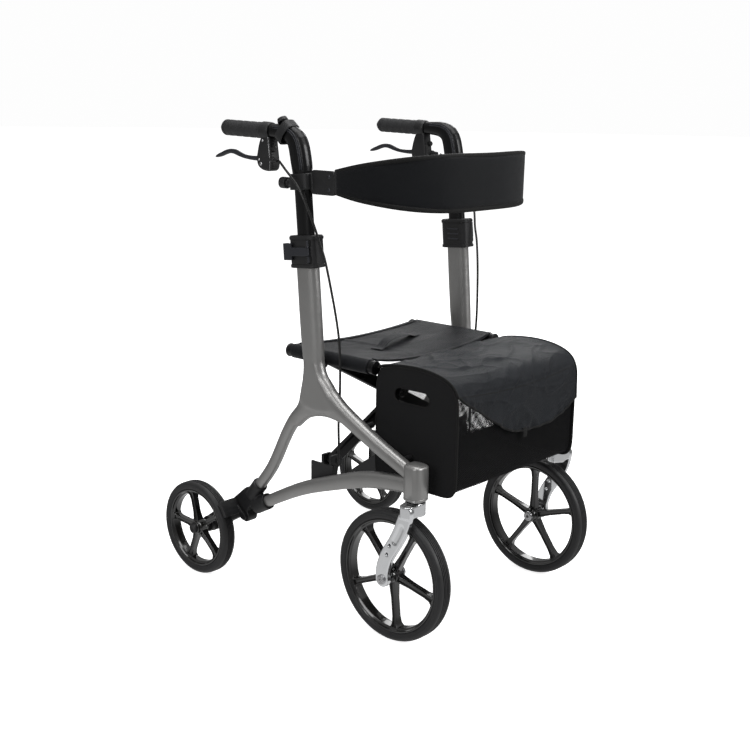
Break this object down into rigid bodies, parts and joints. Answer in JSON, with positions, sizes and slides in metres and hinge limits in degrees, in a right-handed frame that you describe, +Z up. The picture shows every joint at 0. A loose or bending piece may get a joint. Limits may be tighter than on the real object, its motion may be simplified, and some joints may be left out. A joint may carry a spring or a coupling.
{
  "type": "folding rollator",
  "caption": "Folding wheeled walker with sling seat, padded back strap, front bag, hand brakes, height-adjustable handles and swivelling front casters.",
  "frame": {"origin": "on the floor, under the middle of the object's box", "axes": "+X towards the user's left hand, +Y to the rear where the user stands, +Z up"},
  "size_m": [0.588, 0.738, 0.9614],
  "materials": {
    "frame_paint": "satin metallic grey lacquer",
    "black_plastic": "fine grained moulded plastic",
    "black_tube": "satin black powder coat",
    "grip_rubber": "matt soft rubber",
    "chrome": "polished",
    "steel": "zinc plated",
    "rim_gloss": "glossy moulded plastic",
    "tyre_rubber": "dark grey solid tyre",
    "nylon": "woven black nylon",
    "bag_board": "matt black stiffened fabric",
    "strap_fabric": "padded black neoprene",
    "cable_sheath": "satin black sheath"
  },
  "bodies": {
    "right_frame": {"right_side_frame": "frame_paint", "right_lower_bar": "frame_paint", "right_head_tube": "frame_paint", "right_rear_bracket": "black_plastic", "right_rear_axle": "steel", "right_height_clamp": "black_plastic", "right_pivot_bracket": "black_plastic", "right_supports": "black_plastic", "right_bag_panel": "bag_board", "right_brake_cable": "cable_sheath", "bag_body": "nylon"},
    "cross_bar_a": {"cross_bar_a": "black_tube", "left_seat_rail": "black_tube", "cross_bolt": "steel"},
    "cross_bar_b": {"cross_bar_b": "black_tube", "right_seat_rail": "black_tube", "seat_sling": "nylon"},
    "left_frame": {"left_side_frame": "frame_paint", "left_lower_bar": "frame_paint", "left_head_tube": "frame_paint", "left_rear_bracket": "black_plastic", "left_rear_axle": "steel", "left_height_clamp": "black_plastic", "left_pivot_bracket": "black_plastic", "left_supports": "black_plastic", "left_bag_panel": "bag_board", "left_brake_cable": "cable_sheath"},
    "right_handle": {"right_handle_tube": "black_tube", "right_grip": "grip_rubber", "right_brake_housing": "black_plastic", "right_backrest_bracket": "black_plastic", "backrest_strap": "strap_fabric", "stick_clip": "black_plastic"},
    "right_brake_lever": {"right_brake_lever": "black_plastic"},
    "right_brake_shoe": {"right_brake_shoe": "black_plastic"},
    "right_lock_lever": {"right_lock_lever": "black_plastic"},
    "right_caster": {"right_caster_fork": "chrome", "right_front_axle": "steel", "right_caster_bearing": "black_plastic"},
    "right_front_wheel": {"right_front_wheel": "rim_gloss", "right_front_tyre": "tyre_rubber"},
    "right_rear_wheel": {"right_rear_wheel": "rim_gloss", "right_rear_tyre": "tyre_rubber"},
    "left_handle": {"left_handle_tube": "black_tube", "left_grip": "grip_rubber", "left_brake_housing": "black_plastic", "left_backrest_bracket": "black_plastic"},
    "left_brake_lever": {"left_brake_lever": "black_plastic"},
    "left_brake_shoe": {"left_brake_shoe": "black_plastic"},
    "left_lock_lever": {"left_lock_lever": "black_plastic"},
    "left_caster": {"left_caster_fork": "chrome", "left_front_axle": "steel", "left_caster_bearing": "black_plastic"},
    "left_front_wheel": {"left_front_wheel": "rim_gloss", "left_front_tyre": "tyre_rubber"},
    "left_rear_wheel": {"left_rear_wheel": "rim_gloss", "left_rear_tyre": "tyre_rubber"},
    "bag_flap": {"bag_flap": "nylon"}
  },
  "joints": [
    {"name": "fold", "type": "hinge", "parent": "right_frame", "child": "cross_bar_a", "pos_m": [-0.196, -0.05, 0.302], "axis": [0, -1, 0], "range_deg": [0, 46], "deforming": ["seat_sling", "backrest_strap", "bag_body", "bag_flap"]},
    {"name": "bar_crossing", "type": "hinge", "parent": "cross_bar_a", "child": "cross_bar_b", "pos_m": [0, -0.039, 0.40435], "axis": [0, -1, 0], "range_deg": [-92, 0]},
    {"name": "left_side_pivot", "type": "hinge", "parent": "cross_bar_b", "child": "left_frame", "pos_m": [0.196, -0.028, 0.302], "axis": [0, -1, 0], "range_deg": [0, 46]},
    {"name": "right_height", "type": "slide", "parent": "right_frame", "child": "right_handle", "axis": [0, 0.0889, 0.996], "range_m": [-0.07, 0.04], "deforming": ["right_brake_cable"]},
    {"name": "right_brake_squeeze", "type": "hinge", "parent": "right_handle", "child": "right_brake_lever", "pos_m": [-0.229, 0.1, 0.884], "axis": [1, 0, 0], "range_deg": [0, 11], "stiffness_Nm_per_rad": 2, "springref_deg": -11.46},
    {"name": "right_shoe_press", "type": "hinge", "parent": "right_frame", "child": "right_brake_shoe", "pos_m": [-0.229, 0.16, 0.142], "axis": [1, 0, 0], "range_deg": [-2.75, 0]},
    {"name": "right_lock_swing", "type": "hinge", "parent": "right_frame", "child": "right_lock_lever", "pos_m": [-0.2505, -0.03441, 0.71497], "axis": [0, 0.0889, 0.996], "range_deg": [0, 100]},
    {"name": "right_caster_swivel", "type": "hinge", "parent": "right_frame", "child": "right_caster", "pos_m": [-0.229, -0.291, 0.3], "axis": [0, 0, 1], "continuous": true},
    {"name": "right_front_spin", "type": "hinge", "parent": "right_caster", "child": "right_front_wheel", "pos_m": [-0.229, -0.242, 0.127], "axis": [1, 0, 0], "continuous": true},
    {"name": "right_rear_spin", "type": "hinge", "parent": "right_frame", "child": "right_rear_wheel", "pos_m": [-0.273, 0.269, 0.1], "axis": [1, 0, 0], "continuous": true},
    {"name": "left_height", "type": "slide", "parent": "left_frame", "child": "left_handle", "axis": [0, 0.0889, 0.996], "range_m": [-0.07, 0.04], "deforming": ["left_brake_cable"]},
    {"name": "left_brake_squeeze", "type": "hinge", "parent": "left_handle", "child": "left_brake_lever", "pos_m": [0.229, 0.1, 0.884], "axis": [1, 0, 0], "range_deg": [0, 11], "stiffness_Nm_per_rad": 2, "springref_deg": -11.46},
    {"name": "left_shoe_press", "type": "hinge", "parent": "left_frame", "child": "left_brake_shoe", "pos_m": [0.229, 0.16, 0.142], "axis": [1, 0, 0], "range_deg": [-2.75, 0]},
    {"name": "left_lock_swing", "type": "hinge", "parent": "left_frame", "child": "left_lock_lever", "pos_m": [0.2505, -0.03441, 0.71497], "axis": [0, -0.0889, -0.996], "range_deg": [0, 100]},
    {"name": "left_caster_swivel", "type": "hinge", "parent": "left_frame", "child": "left_caster", "pos_m": [0.229, -0.291, 0.3], "axis": [0, 0, 1], "continuous": true},
    {"name": "left_front_spin", "type": "hinge", "parent": "left_caster", "child": "left_front_wheel", "pos_m": [0.229, -0.242, 0.127], "axis": [1, 0, 0], "continuous": true},
    {"name": "left_rear_spin", "type": "hinge", "parent": "left_frame", "child": "left_rear_wheel", "pos_m": [0.273, 0.269, 0.1], "axis": [1, 0, 0], "continuous": true},
    {"name": "flap_lift", "type": "hinge", "parent": "right_frame", "child": "bag_flap", "pos_m": [0, -0.161, 0.513], "axis": [-1, 0, 0], "range_deg": [0, 100]}
  ],
  "couplings": [
    {"joint": "bar_crossing", "follows": "fold", "ratio": -2},
    {"joint": "left_side_pivot", "follows": "fold", "ratio": 1},
    {"joint": "left_height", "follows": "right_height", "ratio": 1},
    {"joint": "right_shoe_press", "follows": "right_brake_squeeze", "ratio": -0.25},
    {"joint": "left_shoe_press", "follows": "left_brake_squeeze", "ratio": -0.25}
  ]
}
